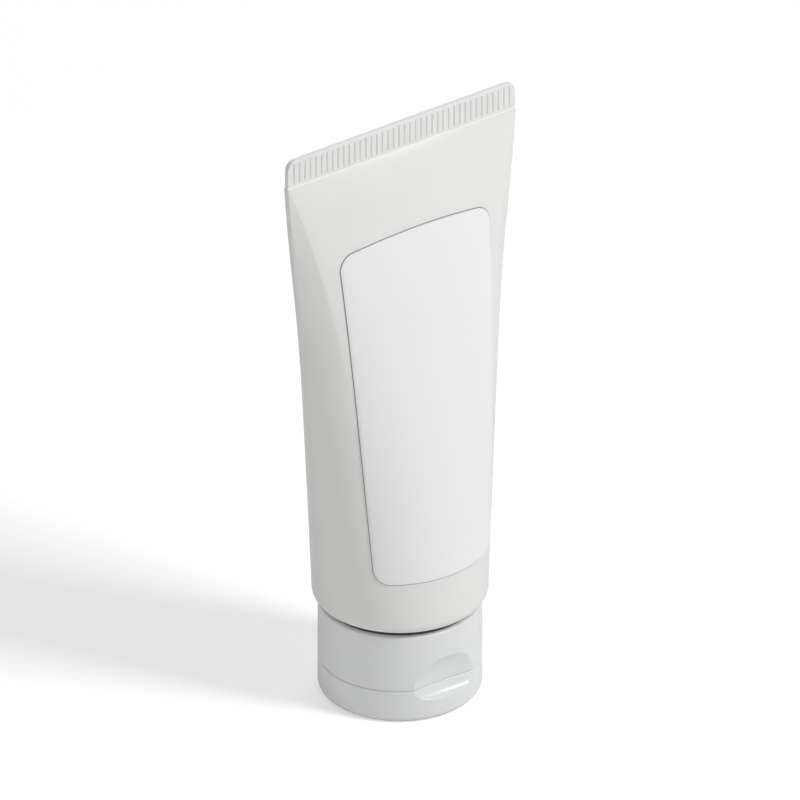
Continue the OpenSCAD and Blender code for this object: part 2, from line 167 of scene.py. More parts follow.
def faceOutwards(mesh, mergeWithin=None, cutEnds=False):
    # mergeWithin: points nearer than this become one; cutEnds: faces with many corners become triangles
    shape = bmesh.new()
    shape.from_mesh(mesh)
    if mergeWithin:
        bmesh.ops.remove_doubles(shape, verts=shape.verts, dist=mergeWithin)
    if cutEnds:
        bmesh.ops.triangulate(shape, faces=[f for f in shape.faces if len(f.verts) > 4])
    bmesh.ops.recalc_face_normals(shape, faces=shape.faces)
    shape.to_mesh(mesh)
    shape.free()


def shadeSmooth(piece, degrees):
    # smooth faces, with edges steeper than this kept sharp
    mesh = piece.data
    mesh.shade_smooth()
    mesh.set_sharp_from_angle(angle=math.radians(degrees))


print("materials")


def plasticMaterial(name, look):
    material = bpy.data.materials.new(name)
    tree = clearedTree(material)
    place = addNode(tree, "ShaderNodeTexCoord")
    grainPlace = addNode(tree, "ShaderNodeMapping", {}, {
        "Vector": place.outputs["Object"], "Scale": look.get("grainStretch", (1.0, 1.0, 1.0))})
    grain = addNode(tree, "ShaderNodeTexNoise", {"noise_dimensions": "3D"}, {
        "Vector": grainPlace, "Scale": 1 / (look["grainSize"] * mm), "Detail": 3.0, "Roughness": 0.55})
    cloud = addNode(tree, "ShaderNodeTexNoise", {"noise_dimensions": "3D"}, {
        "Vector": place.outputs["Object"], "Scale": 1 / (look["cloudSize"] * mm),
        "Detail": 2.0, "Roughness": 0.5})
    # the Mix node's colours are its inputs 6 and 7 and its output 2
    tone = addNode(tree, "ShaderNodeMix", {"data_type": "RGBA"}, {
        "Factor": cloud.outputs["Fac"],
        6: hexColor(look["colour"]),
        7: hexColor(look["shade"])})
    rough = addNode(tree, "ShaderNodeMapRange", {}, {
        "Value": cloud.outputs["Fac"], "From Min": 0.3, "From Max": 0.7,
        "To Min": look["roughness"] - look["roughnessPlay"],
        "To Max": look["roughness"] + look["roughnessPlay"]})
    bump = addNode(tree, "ShaderNodeBump", {}, {
        "Strength": look["bumpStrength"], "Distance": look["bumpDepth"] * mm,
        "Height": grain.outputs["Fac"]})
    shader = addNode(tree, "ShaderNodeBsdfPrincipled", {}, {
        "Base Color": tone.outputs[2], "Roughness": rough, "Normal": bump,
        "IOR": look["ior"], "Subsurface Weight": look.get("subsurface", 0.0),
        "Subsurface Scale": look.get("depth", 1.0) * mm, "Subsurface Radius": (1.0, 0.9, 0.8)})
    addNode(tree, "ShaderNodeOutputMaterial", {}, {"Surface": shader})
    return material


# extruded low-density polyethylene: soft white with a satin sheen and faint lines drawn along the tube
sleevePlastic = plasticMaterial("satinWhitePolyethylene", {
    "colour": "#f1f1ef", "shade": "#ebebe9", "roughness": 0.36, "roughnessPlay": 0.03, "ior": 1.51,
    "grainSize": 0.5, "grainStretch": (1.0, 1.0, 0.08), "cloudSize": 22,
    "bumpStrength": 0.25, "bumpDepth": 0.01})
# moulded polypropylene: a little glossier and cooler than the sleeve, with a fine even mould grain
capPlastic = plasticMaterial("mouldedPolypropylene", {
    "colour": "#f0f1f1", "shade": "#eaebeb", "roughness": 0.24, "roughnessPlay": 0.03, "ior": 1.49,
    "grainSize": 0.35, "cloudSize": 12, "bumpStrength": 0.2, "bumpDepth": 0.006})
# the shoulder is moulded from the sleeve's own plastic in an unpolished mould, so it is duller
shoulderPlastic = plasticMaterial("dullMouldedPolyethylene", {
    "colour": "#e9e9e6", "shade": "#e2e2df", "roughness": 0.5, "roughnessPlay": 0.04, "ior": 1.51,
    "grainSize": 0.25, "cloudSize": 9, "bumpStrength": 0.35, "bumpDepth": 0.012})
# printed-label stock left bare: matt white film with a very fine tooth
labelFilm = plasticMaterial("mattWhiteLabelFilm", {
    "colour": "#f8f8f8", "shade": "#f4f4f4", "roughness": 0.52, "roughnessPlay": 0.03, "ior": 1.5,
    "grainSize": 0.18, "cloudSize": 30, "bumpStrength": 0.25, "bumpDepth": 0.008})
# the film's cut edge is painted mid grey: painted shade that draws the label's outline as a fine dark line
labelEdgePaintedShade = plasticMaterial("labelCutEdgePaintedShade", {
    "colour": "#9a9a98", "shade": "#8f8f8d", "roughness": 0.5, "roughnessPlay": 0.03, "ior": 1.5,
    "grainSize": 0.2, "cloudSize": 8, "bumpStrength": 0.2, "bumpDepth": 0.006})
# thick oil-in-water cream: warm white, wet sheen, slow swirls
creamFilling = plasticMaterial("thickWhiteCream", {
    "colour": "#f6f2e6", "shade": "#efe9da", "roughness": 0.3, "roughnessPlay": 0.06, "ior": 1.42,
    "grainSize": 3.0, "grainStretch": (1.0, 1.0, 2.0), "cloudSize": 7,
    "bumpStrength": 0.5, "bumpDepth": 0.15, "subsurface": 0.2, "depth": 2.0})

for nodeName, material in {
    "tube_shoulder": shoulderPlastic, "cream_fill": creamFilling, "cap_base": capPlastic,
    "cap_lid": capPlastic, "hinge_film": capPlastic, "tube_sleeve": sleevePlastic, "label": labelFilm,
}.items():
    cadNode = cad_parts[nodeName]
    cadNode.data.materials.clear()
    cadNode.data.materials.append(material)


print("sleeve")

sleeveLook = {
    "columns": 288,           # faces round the tube
    "edgeColumns": 2,         # of a quarter's columns, those up to the folded edge's corner
    "facetColumns": 26,       # and those up to the crease
    "leastEdge": 0.06,        # the edge columns' least share of the turn between edge and crease
    "rimRows": 18,            # rows that turn round the lower rim
    "rows": 176,
    "rowCrowding": 1.3,       # rows stand closer near the crimp
    "creaseEnd": 132.1 * mm,  # height where the facet outside the crease is quite flat
    "creaseSoft": 0.12 * mm,
    "edgeStart": 0.6,         # share of the height where the folded edge begins to thicken
    "creaseFade": 4.5,        # how late and how softly the crease runs out to the crimp's corner
    "creaseFadeSoft": 0.9,
    "lipDepth": 1.0 * mm,
    "leastSin": 0.001,        # these two keep divisions safe
    "leastBow": 0.001 * mm,
    "mergeWithin": 0.0005 * mm,
}
quarterColumns = sleeveLook["columns"] / 4


def sleeveTree(values):
    tree, given = newFormTree("sleeveForm", values)
    mathKind, mapKind = "ShaderNodeMath", "ShaderNodeMapRange"
    grid = addNode(tree, "GeometryNodeMeshGrid", {}, [1.0, 1.0, given["Columns"], given["Rows"]])
    here = addNode(tree, "ShaderNodeSeparateXYZ", {}, [addNode(tree, "GeometryNodeInputPosition")])
    v = addNode(tree, mathKind, "ADD", [here.outputs["Y"], 0.5])
    # the first rows turn round the rim, the others climb to the crimp
    rimTurn = addNode(tree, mapKind, {}, {"Value": v, "From Max": given["Rim Share"], "To Max": math.pi / 2})
    climb = addNode(tree, mapKind, {}, {"Value": v, "From Min": given["Rim Share"]})
    left = addNode(tree, mathKind, "SUBTRACT", [1.0, climb])
    leftCrowded = addNode(tree, mathKind, "POWER", [left, given["Row Crowding"]])
    up = addNode(tree, mathKind, "SUBTRACT", [1.0, leftCrowded])
    length = addNode(tree, mathKind, "SUBTRACT", [given["Crimp Z"], given["Round Z"]])
    bodyZ = addNode(tree, mathKind, "MULTIPLY_ADD", [up, length, given["Round Z"]])
    # half-width grows evenly, and the girth stays the same but for the crimp's little spread
    widthGain = addNode(tree, mathKind, "SUBTRACT", [given["Crimp Half Width"], given["Radius"]])
    evenWide = addNode(tree, mathKind, "MULTIPLY_ADD", [up, widthGain, given["Radius"]])
    girthGain = addNode(tree, mathKind, "SUBTRACT", [given["Crimp Girth"], given["Radius"]])
    girth = addNode(tree, mathKind, "MULTIPLY_ADD", [up, girthGain, given["Radius"]])
    wideShare = addNode(tree, mathKind, "DIVIDE", [evenWide, girth])
    widePowered = addNode(tree, mathKind, "POWER", [wideShare, given["Girth Power"]])
    deepPowered = addNode(tree, mathKind, "SUBTRACT", [2.0, widePowered])
    powerBack = addNode(tree, mathKind, "DIVIDE", [1.0, given["Girth Power"]])
    deepShare = addNode(tree, mathKind, "POWER", [deepPowered, powerBack])
    deepFree = addNode(tree, mathKind, "MULTIPLY", [deepShare, girth])
    evenDeep = addNode(tree, mathKind, "MAXIMUM", [deepFree, given["Wall"]])
    # where the crease runs, and how much fuller the tube stands for the corners it cuts
    edge = addNode(tree, mapKind, {"interpolation_type": "SMOOTHSTEP"}, {
        "Value": up, "From Min": given["Edge Start"], "To Max": given["Wall"]})
    faded = addNode(tree, mathKind, "POWER", [up, given["Crease Fade"]])
    notFaded = addNode(tree, mathKind, "SUBTRACT", [1.0, faded])
    gapShare = addNode(tree, mathKind, "POWER", [notFaded, given["Crease Fade Softness"]])
    creaseRise = addNode(tree, mapKind, {"interpolation_type": "SMOOTHSTEP"}, {
        "Value": bodyZ, "From Min": given["Crease Start"], "From Max": given["Crease End"]})
    creaseShare = addNode(tree, mathKind, "MULTIPLY", [creaseRise, gapShare])
    fullness = addNode(tree, mathKind, "MULTIPLY_ADD", [creaseShare, given["Crease Fullness"], 1.0])
    halfWide = addNode(tree, mathKind, "MULTIPLY", [evenWide, fullness])
    halfDeep = addNode(tree, mathKind, "MULTIPLY", [evenDeep, fullness])
    gap = addNode(tree, mathKind, "MULTIPLY", [gapShare, given["Crease In"]])
    gapOfWide = addNode(tree, mathKind, "DIVIDE", [gap, halfWide])
    creaseCos = addNode(tree, mathKind, "SUBTRACT", [1.0, gapOfWide])
    creaseSinFree = thirdSide(tree, 1.0, creaseCos)
    creaseSin = addNode(tree, mathKind, "MAXIMUM", [creaseSinFree, sleeveLook["leastSin"]])
    flatness = addNode(tree, mathKind, "MULTIPLY", [creaseRise, given["Crease Flatness"]])
    # the rim draws the round section in
    rimSin = addNode(tree, mathKind, "SINE", [rimTurn])
    rimCos = addNode(tree, mathKind, "COSINE", [rimTurn])
    rimLess = addNode(tree, mathKind, "SUBTRACT", [1.0, rimSin])
    drawnIn = addNode(tree, mathKind, "MULTIPLY", [rimLess, given["Rim Radius"]])
    a = addNode(tree, mathKind, "SUBTRACT", [halfWide, drawnIn])
    b = addNode(tree, mathKind, "SUBTRACT", [halfDeep, drawnIn])
    rimDrop = addNode(tree, mathKind, "MULTIPLY", [rimCos, given["Rim Radius"]])
    z = addNode(tree, mathKind, "SUBTRACT", [bodyZ, rimDrop])
    bow = addNode(tree, mathKind, "SUBTRACT", [b, edge])
    # in each quarter a column follows the folded edge's corner and another follows the crease
    around = addNode(tree, mathKind, "ABSOLUTE", [here.outputs["X"]])
    quarters = addNode(tree, mathKind, "MULTIPLY", [around, 4.0])
    pastFront = addNode(tree, mathKind, "SUBTRACT", [1.0, quarters])
    frontAway = addNode(tree, mathKind, "ABSOLUTE", [pastFront])
    column = addNode(tree, mathKind, "SUBTRACT", [1.0, frontAway])
    creaseTurn = addNode(tree, mathKind, "ARCSINE", [creaseSin])
    edgeOfCrease = addNode(tree, mathKind, "DIVIDE", [edge, creaseSin])
    edgeWhole = addNode(tree, mathKind, "ADD", [bow, edgeOfCrease])
    edgeSin = addNode(tree, mathKind, "DIVIDE", [edge, edgeWhole])
    edgeTurnFree = addNode(tree, mathKind, "ARCSINE", [edgeSin])
    edgeTurnLeast = addNode(tree, mathKind, "MULTIPLY", [creaseTurn, given["Least Edge"]])
    edgeTurn = addNode(tree, mathKind, "MAXIMUM", [edgeTurnFree, edgeTurnLeast])
    facetTurn = addNode(tree, mathKind, "SUBTRACT", [creaseTurn, edgeTurn])
    frontTurn = addNode(tree, mathKind, "SUBTRACT", [math.pi / 2, creaseTurn])
    onEdge = addNode(tree, mapKind, {}, {
        "Value": column, "From Max": given["Edge Columns"], "To Max": edgeTurn})
    onFacet = addNode(tree, mapKind, {}, {
        "Value": column, "From Min": given["Edge Columns"], "From Max": given["Facet Columns"],
        "To Max": facetTurn})
    onFront = addNode(tree, mapKind, {}, {
        "Value": column, "From Min": given["Facet Columns"], "To Max": frontTurn})
    sideTurn = addNode(tree, mathKind, "ADD", [onEdge, onFacet])
    turn = addNode(tree, mathKind, "ADD", [sideTurn, onFront])
    # one ring: front and back are ellipse arcs, the sides are drawn towards a straight line
    s = addNode(tree, mathKind, "SINE", [turn])
    sideShare = addNode(tree, mathKind, "DIVIDE", [s, creaseSin])
    m = addNode(tree, mathKind, "MINIMUM", [sideShare, 1.0])
    edgePart = addNode(tree, mathKind, "MULTIPLY", [edge, m])
    y = addNode(tree, mathKind, "MULTIPLY_ADD", [bow, s, edgePart])
    bowSafe = addNode(tree, mathKind, "MAXIMUM", [bow, sleeveLook["leastBow"]])
    edgeLeft = addNode(tree, mathKind, "SUBTRACT", [edge, edgePart])
    edgeShare = addNode(tree, mathKind, "DIVIDE", [edgeLeft, bowSafe])
    qFree = addNode(tree, mathKind, "SUBTRACT", [s, edgeShare])
    q = addNode(tree, mathKind, "MAXIMUM", [qFree, 0.0])
    p = thirdSide(tree, 1.0, q)
    xRound = addNode(tree, mathKind, "MULTIPLY", [a, p])
    # the two facets meet in a soft fold at the edge, which sharpens towards the crimp
    upLeft = addNode(tree, mathKind, "SUBTRACT", [1.0, up])
    fold = addNode(tree, mathKind, "MULTIPLY", [upLeft, given["Fold Softness"]])
    foldSquare = addNode(tree, mathKind, "MULTIPLY", [fold, fold])
    facetShare = addNode(tree, mathKind, "DIVIDE", [q, creaseSin])
    facetSquare = addNode(tree, mathKind, "MULTIPLY_ADD", [facetShare, facetShare, foldSquare])
    facetRoot = addNode(tree, mathKind, "SQRT", [facetSquare])
    facetRise = addNode(tree, mathKind, "SUBTRACT", [facetRoot, fold])
    wholeSquare = addNode(tree, mathKind, "ADD", [foldSquare, 1.0])
    wholeRoot = addNode(tree, mathKind, "SQRT", [wholeSquare])
    wholeRise = addNode(tree, mathKind, "SUBTRACT", [wholeRoot, fold])
    facetPart = addNode(tree, mathKind, "DIVIDE", [facetRise, wholeRise])
    gapFall = addNode(tree, mathKind, "MULTIPLY", [gap, facetPart])
    xLine = addNode(tree, mathKind, "SUBTRACT", [a, gapFall])
    inward = addNode(tree, mathKind, "SUBTRACT", [xLine, xRound])
    inwardSoft = addNode(tree, mathKind, "SMOOTH_MIN", [inward, 0.0, given["Crease Softness"]])
    x = addNode(tree, mathKind, "MULTIPLY_ADD", [inwardSoft, flatness, xRound])
    xSide = addNode(tree, mathKind, "SIGN", [pastFront])
    ySide = addNode(tree, mathKind, "SIGN", [here.outputs["X"]])
    xPlaced = addNode(tree, mathKind, "MULTIPLY", [x, xSide])
    yPlaced = addNode(tree, mathKind, "MULTIPLY", [y, ySide])
    point = addNode(tree, "ShaderNodeCombineXYZ", {}, [xPlaced, yPlaced, z])
    # the sheet's two ends meet at the side and are joined there
    endFormTree(tree, given, grid, point, sleeveLook["mergeWithin"])
    return tree


sleeveValues = {
    "Radius": tube["radius"], "Rim Radius": tube["rimRadius"], "Round Z": tube["roundZ"],
    "Crimp Z": tube["crimpZ"], "Crimp Half Width": tube["crimpHalfWide"], "Wall": tube["wall"],
    "Crimp Girth": tube["crimpGirth"], "Girth Power": tube["girthPower"], "Crease In": tube["creaseIn"],
    "Crease Flatness": tube["creaseFlat"], "Crease Fullness": tube["creaseFull"],
    "Crease Start": tube["creaseStart"], "Crease End": sleeveLook["creaseEnd"],
    "Crease Softness": sleeveLook["creaseSoft"], "Fold Softness": tube["foldSoft"],
    "Edge Start": sleeveLook["edgeStart"], "Crease Fade": sleeveLook["creaseFade"],
    "Crease Fade Softness": sleeveLook["creaseFadeSoft"],
    "Rim Share": sleeveLook["rimRows"] / (sleeveLook["rows"] - 1), "Row Crowding": sleeveLook["rowCrowding"],
    "Edge Columns": sleeveLook["edgeColumns"] / quarterColumns,
    "Facet Columns": sleeveLook["facetColumns"] / quarterColumns, "Least Edge": sleeveLook["leastEdge"],
    "Columns": sleeveLook["columns"] + 1, "Rows": sleeveLook["rows"], "Material": sleevePlastic,
}
sleevePiece = growPiece("sleeveBody", sleeveTree(sleeveValues), sleeveValues)


def closeSleeve(piece, lipDepth):
    # turns the lip up inside the rim, then closes both ends, which the shoulder and the band cover
    piece.data.shade_smooth()
    shape = bmesh.new()
    shape.from_mesh(piece.data)
    for edge in shape.edges:
        edge.smooth = not edge.is_boundary
    rimEdges = [e for e in shape.edges if e.is_boundary and e.verts[0].co.z < tube["roundZ"]]
    grown = bmesh.ops.extrude_edge_only(shape, edges=rimEdges)["geom"]
    for vertex in [g for g in grown if isinstance(g, bmesh.types.BMVert)]:
        vertex.co.z += lipDepth
    bmesh.ops.holes_fill(shape, edges=[e for e in shape.edges if e.is_boundary], sides=0)
    bmesh.ops.recalc_face_normals(shape, faces=shape.faces)
    shape.to_mesh(piece.data)
    shape.free()


closeSleeve(sleevePiece, sleeveLook["lipDepth"])


print("crimp")

band = {
    "halfThick": 0.62 * mm,   # the jaws press the two walls into each other, which leaves a small ledge
    "corner": 2.5 * mm,
    "edgeRound": 0.22 * mm,
    "groovePitch": 1.54 * mm,
    "grooveWidth": 0.5 * mm,
    "grooveDepth": 0.3 * mm,
    "grooveMargin": 0.7 * mm,
    "grooveCount": 40,
    "notchWidth": 0.4 * mm,   # the line that the jaws' lower edge leaves along the foot of the band
    "notchDepth": 0.2 * mm,
    "seat": 0.5 * mm,         # how far it reaches down between the walls
    "grooveColumns": 12,      # columns in each groove's pitch, so every groove gets the same faces
    "sideColumns": 12,
    "leastSide": 0.1 * mm,
    "rows": 72,
    "topRows": 6,             # finer rows in the strip just under the cut edge
    "topStrip": 0.3 * mm,
    "sharpFrom": 30,          # in degrees: steeper edges are shaded sharp
}


def bandTree(values):
    tree, given = newFormTree("crimpForm", values)
    mathKind, mapKind = "ShaderNodeMath", "ShaderNodeMapRange"
    width = addNode(tree, mathKind, "MULTIPLY", [given["Half Width"], 2.0])
    thick = addNode(tree, mathKind, "MULTIPLY", [given["Half Thickness"], 2.0])
    size = addNode(tree, "ShaderNodeCombineXYZ", {}, [width, thick, given["Height"]])
    slab = addNode(tree, "GeometryNodeMeshCube", {}, {
        "Size": size, "Vertices X": given["Columns"], "Vertices Y": 3, "Vertices Z": given["Rows"]})
    here = addNode(tree, "ShaderNodeSeparateXYZ", {}, [addNode(tree, "GeometryNodeInputPosition")])
    # even rows up to the top strip, then finer ones
    zShareFree = addNode(tree, mathKind, "DIVIDE", [here.outputs["Z"], given["Height"]])
    zShare = addNode(tree, mathKind, "ADD", [zShareFree, 0.5])
    plainHeight = addNode(tree, mathKind, "SUBTRACT", [given["Height"], given["Top Strip"]])
    inPlain = addNode(tree, mapKind, {}, {
        "Value": zShare, "From Max": given["Row Share"], "To Max": plainHeight})
    inStrip = addNode(tree, mapKind, {}, {
        "Value": zShare, "From Min": given["Row Share"], "To Max": given["Top Strip"]})
    zUp = addNode(tree, mathKind, "ADD", [inPlain, inStrip])
    zLeft = addNode(tree, mathKind, "SUBTRACT", [given["Height"], zUp])
    # round top corners
    intoCorner = addNode(tree, mathKind, "SUBTRACT", [given["Corner"], zLeft])
    inCorner = addNode(tree, mathKind, "MAXIMUM", [intoCorner, 0.0])
    cornerShare = addNode(tree, mathKind, "DIVIDE", [inCorner, given["Corner"]])
    cornerLoss = addNode(tree, mathKind, "SUBTRACT", [1.0, thirdSide(tree, 1.0, cornerShare)])
    lost = addNode(tree, mathKind, "MULTIPLY", [cornerLoss, given["Corner"]])
    halfHere = addNode(tree, mathKind, "SUBTRACT", [given["Half Width"], lost])
    # columns keep step with the grooves, and the plain sides take up the round corners
    xShare = addNode(tree, mathKind, "DIVIDE", [here.outputs["X"], given["Half Width"]])
    shareAway = addNode(tree, mathKind, "ABSOLUTE", [xShare])
    widestGrooved = addNode(tree, mathKind, "SUBTRACT", [halfHere, given["Least Side"]])
    groovedHere = addNode(tree, mathKind, "MINIMUM", [given["Grooved Half Width"], widestGrooved])
    sideHere = addNode(tree, mathKind, "SUBTRACT", [halfHere, groovedHere])
    inGrooves = addNode(tree, mapKind, {}, {
        "Value": shareAway, "From Max": given["Grooved Share"], "To Max": groovedHere})
    inSide = addNode(tree, mapKind, {}, {
        "Value": shareAway, "From Min": given["Grooved Share"], "To Max": sideHere})
    xAway = addNode(tree, mathKind, "ADD", [inGrooves, inSide])
    xSide = addNode(tree, mathKind, "SIGN", [here.outputs["X"]])
    x = addNode(tree, mathKind, "MULTIPLY", [xAway, xSide])
    # grooves every pitch, with sloping ends
    steps = addNode(tree, mathKind, "DIVIDE", [xAway, given["Pitch"]])
    within = addNode(tree, mathKind, "FRACT", [steps])
    offMiddle = addNode(tree, mathKind, "SUBTRACT", [within, 0.5])
    offShare = addNode(tree, mathKind, "ABSOLUTE", [offMiddle])
    off = addNode(tree, mathKind, "MULTIPLY", [offShare, given["Pitch"]])
    halfGroove = addNode(tree, mathKind, "MULTIPLY", [given["Groove Width"], 0.5])
    vee = addNode(tree, mapKind, {}, {"Value": off, "From Max": halfGroove, "To Min": 1.0, "To Max": 0.0})
    lowEnd = addNode(tree, mathKind, "SUBTRACT", [zUp, given["Low Margin"]])
    lowShare = addNode(tree, mapKind, {}, {"Value": lowEnd, "From Max": given["Groove Depth"]})
    highEnd = addNode(tree, mathKind, "SUBTRACT", [zLeft, given["High Margin"]])
    highShare = addNode(tree, mapKind, {}, {"Value": highEnd, "From Max": given["Groove Depth"]})
    grooved = addNode(tree, mathKind, "LESS_THAN", [xAway, given["Grooved Half Width"]])
    endShare = addNode(tree, mathKind, "MULTIPLY", [lowShare, highShare])
    veeHere = addNode(tree, mathKind, "MULTIPLY", [vee, endShare])
    veeKept = addNode(tree, mathKind, "MULTIPLY", [veeHere, grooved])
    sunk = addNode(tree, mathKind, "MULTIPLY", [veeKept, given["Groove Depth"]])
    # the cut edge is rounded over
    sideLeft = addNode(tree, mathKind, "SUBTRACT", [halfHere, xAway])
    nearEdge = addNode(tree, mathKind, "MINIMUM", [sideLeft, zLeft])
    edgeShare = addNode(tree, mapKind, {}, {
        "Value": nearEdge, "From Max": given["Edge Round"], "To Min": 1.0, "To Max": 0.0})
    edgeLoss = addNode(tree, mathKind, "SUBTRACT", [1.0, thirdSide(tree, 1.0, edgeShare)])
    rounded = addNode(tree, mathKind, "MULTIPLY", [edgeLoss, given["Edge Round"]])
    fromNotch = addNode(tree, mathKind, "SUBTRACT", [zUp, given["Notch Z"]])
    notchAway = addNode(tree, mathKind, "ABSOLUTE", [fromNotch])
    notchHalf = addNode(tree, mathKind, "MULTIPLY", [given["Notch Width"], 0.5])
    notch = addNode(tree, mapKind, {"interpolation_type": "SMOOTHSTEP"}, {
        "Value": notchAway, "From Max": notchHalf, "To Min": given["Notch Depth"], "To Max": 0.0})
    pressed = addNode(tree, mathKind, "ADD", [sunk, notch])
    thinner = addNode(tree, mathKind, "ADD", [pressed, rounded])
    thinAway = addNode(tree, mathKind, "SUBTRACT", [given["Half Thickness"], thinner])
    ySide = addNode(tree, mathKind, "SIGN", [here.outputs["Y"]])
    y = addNode(tree, mathKind, "MULTIPLY", [ySide, thinAway])
    z = addNode(tree, mathKind, "ADD", [zUp, given["Foot Z"]])
    endFormTree(tree, given, slab, addNode(tree, "ShaderNodeCombineXYZ", {}, [x, y, z]))
    return tree


groovedColumns = band["grooveCount"] * band["grooveColumns"]
bandColumns = groovedColumns + 2 * band["sideColumns"]
bandValues = {
    "Half Width": tube["crimpHalfWide"], "Half Thickness": band["halfThick"],
    "Height": tube["crimpHeight"] + band["seat"], "Foot Z": tube["crimpZ"] - band["seat"],
    "Corner": band["corner"], "Edge Round": band["edgeRound"], "Pitch": band["groovePitch"],
    "Groove Width": band["grooveWidth"], "Groove Depth": band["grooveDepth"],
    "Low Margin": band["grooveMargin"] + band["seat"],
    "High Margin": band["grooveMargin"], "Grooved Half Width": band["grooveCount"] / 2 * band["groovePitch"],
    "Notch Z": band["seat"] + band["notchWidth"] / 2, "Notch Width": band["notchWidth"],
    "Notch Depth": band["notchDepth"], "Least Side": band["leastSide"],
    "Grooved Share": groovedColumns / bandColumns, "Top Strip": band["topStrip"],
    "Row Share": band["rows"] / (band["rows"] + band["topRows"]), "Columns": bandColumns + 1,
    "Rows": band["rows"] + band["topRows"] + 1, "Material": sleevePlastic,
}
crimpPiece = growPiece("crimpBand", bandTree(bandValues), bandValues)
shadeSmooth(crimpPiece, band["sharpFrom"])


print("label")

labelSize = {
    "footWidth": 35.9 * mm, "topWidth": 42.4 * mm, "height": 83.3 * mm, "z": 36.5 * mm, "corner": 3.8 * mm,
    "float": 0.04 * mm, "thick": 0.15 * mm,
    "arch": 2.2 * mm,         # how much higher the top edge stands at its middle
    "cutWidth": 0.22 * mm,    # the cut edge slopes, so it shows from the front all the way round
    "columns": 44, "cornerRows": 12, "bodyRows": 70, "arcSteps": 120, "sharpFrom": 40,
}


def smoothStep(low, high, value):
    share = max(0.0, min(1.0, (value - low) / (high - low)))
    return share * share * (3 - 2 * share)


def sleeveRing(z):
    # half-width, half-depth and edge thickness of the sleeve at a height
    power = tube["girthPower"]
    up = max(0.0, (z - tube["roundZ"]) / (tube["crimpZ"] - tube["roundZ"]))
    wide = tube["radius"] + (tube["crimpHalfWide"] - tube["radius"]) * up
    girth = tube["radius"] + (tube["crimpGirth"] - tube["radius"]) * up
    deep = (2 * girth ** power - wide ** power) ** (1 / power)
    gapShare = (1 - up ** sleeveLook["creaseFade"]) ** sleeveLook["creaseFadeSoft"]
    creaseRise = smoothStep(tube["creaseStart"], sleeveLook["creaseEnd"], z)
    fullness = 1 + tube["creaseFull"] * gapShare * creaseRise
    return wide * fullness, deep * fullness, tube["wall"] * smoothStep(sleeveLook["edgeStart"], 1, up)


def buildLabel():
    size = labelSize
    perRow = size["columns"] + 1
    layers = []
    for off, less in ((size["float"], 0.0), (size["float"] + size["thick"], size["cutWidth"])):
        corner, height = size["corner"] - less, size["height"] - 2 * less
        quarter = [math.pi / 2 * i / size["cornerRows"] for i in range(size["cornerRows"])]
        rows = [corner * (1 - math.cos(turn)) for turn in quarter]
        rows += [corner + (height - 2 * corner) * i / size["bodyRows"] for i in range(size["bodyRows"] + 1)]
        rows += [height - r for r in reversed(rows[:size["cornerRows"]])]
        layer = []
        for v in rows:
            foot = size["z"] + less + v
            wide, deep, edge = sleeveRing(foot)
            into = max(0.0, corner - min(v, height - v))
            share = (less + v) / size["height"]
            side = (size["footWidth"] + (size["topWidth"] - size["footWidth"]) * share) / 2
            half = side - less - corner + math.sqrt(max(0.0, corner ** 2 - into ** 2))
            # way round from the middle of the front, in small steps
            turns = [math.pi / 2 * (1 - i / size["arcSteps"]) for i in range(size["arcSteps"])]
            marks = [(wide * math.cos(t), edge + (deep - edge) * math.sin(t)) for t in turns]
            ways = [0.0]
            for one, two in zip(marks, marks[1:]):
                ways.append(ways[-1] + math.dist(one, two))
            for j in range(perRow):
                way = half * (2 * j / size["columns"] - 1)
                k = next(i for i in range(1, len(ways)) if ways[i] >= abs(way))
                part = (abs(way) - ways[k - 1]) / (ways[k] - ways[k - 1])
                t = turns[k - 1] + (turns[k] - turns[k - 1]) * part
                z = foot + size["arch"] * share ** 2 * (1 - (way / side) ** 2)
                wideHere, deepHere, edgeHere = sleeveRing(z)
                out = Vector(((deepHere - edgeHere) * math.cos(t), wideHere * math.sin(t))).normalized()
                x = wideHere * math.cos(t) + off * out.x
                y = edgeHere + (deepHere - edgeHere) * math.sin(t) + off * out.y
                layer.append((math.copysign(x, way), -y, z))
        layers.append(layer)
    count = len(layers[0])
    faces = []
    for i in range(len(rows) - 1):
        for j in range(size["columns"]):
            a = i * perRow + j
            faces.append((a, a + perRow, a + perRow + 1, a + 1))
            faces.append((count + a, count + a + 1, count + a + perRow + 1, count + a + perRow))
    sheetFaces = len(faces)
    last = (len(rows) - 1) * perRow
    border = list(range(perRow)) + [i * perRow + size["columns"] for i in range(1, len(rows))]
    border += [last + j for j in range(size["columns"] - 1, -1, -1)]
    border += [i * perRow for i in range(len(rows) - 2, 0, -1)]
    for one, two in zip(border, border[1:] + border[:1]):
        faces.append((one, two, count + two, count + one))
    piece = newPiece("labelPanel", layers[0] + layers[1], faces, [labelFilm, labelEdgePaintedShade])
    # the cut edge's faces take the grey painted shade
    for face in piece.data.polygons[sheetFaces:]:
        face.material_index = 1
    return piece


labelPiece = buildLabel()
shadeSmooth(labelPiece, labelSize["sharpFrom"])


print("cap")

